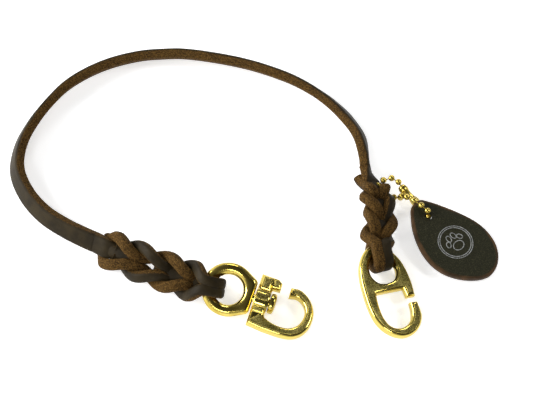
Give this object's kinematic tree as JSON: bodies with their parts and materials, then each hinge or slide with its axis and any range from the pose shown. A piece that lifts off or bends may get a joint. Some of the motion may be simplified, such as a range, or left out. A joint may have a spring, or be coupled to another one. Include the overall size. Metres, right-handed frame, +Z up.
{
  "type": "training leash",
  "caption": "Short leather traffic lead with braided ends, a brass swivel hook, a fixed brass clip and a leather fob on a ball chain.",
  "frame": {"origin": "under the middle of the lead, on the surface it lies on", "axes": "+X from the swivel end to the fob, +Y to the top of the strap's arch, +Z up from the surface"},
  "size_m": [0.2414, 0.1676, 0.0171],
  "materials": {
    "bridle_leather": "greased, satin",
    "fob_leather": "pressed grain, satin",
    "brass": "polished edges, worn faces"
  },
  "bodies": {
    "lead": {"strap": "bridle_leather", "left_splice": "bridle_leather", "right_splice": "bridle_leather"},
    "eye": {"swivel_eye": "brass", "swivel_pin": "brass"},
    "hook": {"hook": "brass"},
    "clip": {"fixed_clip": "brass"},
    "chain": {"bead_01": "brass", "bead_02": "brass", "bead_03": "brass", "bead_04": "brass", "bead_05": "brass", "bead_06": "brass", "bead_07": "brass", "bead_08": "brass", "bead_09": "brass", "bead_10": "brass", "bead_11": "brass", "bead_12": "brass", "bead_13": "brass", "bead_14": "brass", "bead_15": "brass", "bead_16": "brass", "bead_17": "brass", "bead_18": "brass", "link_01": "brass", "link_02": "brass", "link_03": "brass", "link_04": "brass", "link_05": "brass", "link_06": "brass", "link_07": "brass", "link_08": "brass", "link_09": "brass", "link_10": "brass", "link_11": "brass", "link_12": "brass", "link_13": "brass", "link_14": "brass", "link_15": "brass", "link_16": "brass", "link_17": "brass", "chain_connector": "brass"},
    "fob": {"fob": "fob_leather"}
  },
  "joints": [
    {"name": "eye_tilt", "type": "hinge", "parent": "lead", "child": "eye", "pos_m": [-0.01893, -0.05882, 0.00842], "axis": [0.1786, 0.8914, 0.4166], "range_deg": [-60, 60]},
    {"name": "hook_swivel", "type": "hinge", "parent": "eye", "child": "hook", "pos_m": [0.00638, -0.06524, 0.00583], "axis": [0.9494, -0.2903, -0.1201], "continuous": true},
    {"name": "clip_tilt", "type": "hinge", "parent": "lead", "child": "clip", "pos_m": [0.06083, -0.04022, 0.00757], "axis": [0.9534, 0.268, -0.1386], "range_deg": [-30, 60]},
    {"name": "chain_swing", "type": "hinge", "parent": "lead", "child": "chain", "pos_m": [0.06815, -0.00385, 0.005], "axis": [0.3685, -0.3056, 0.878], "range_deg": [-8, 30]},
    {"name": "fob_turn", "type": "hinge", "parent": "chain", "child": "fob", "pos_m": [0.08782, -0.02022, 0.00584], "axis": [0.0606, -0.0697, 0.9957], "range_deg": [-10, 60]}
  ]
}
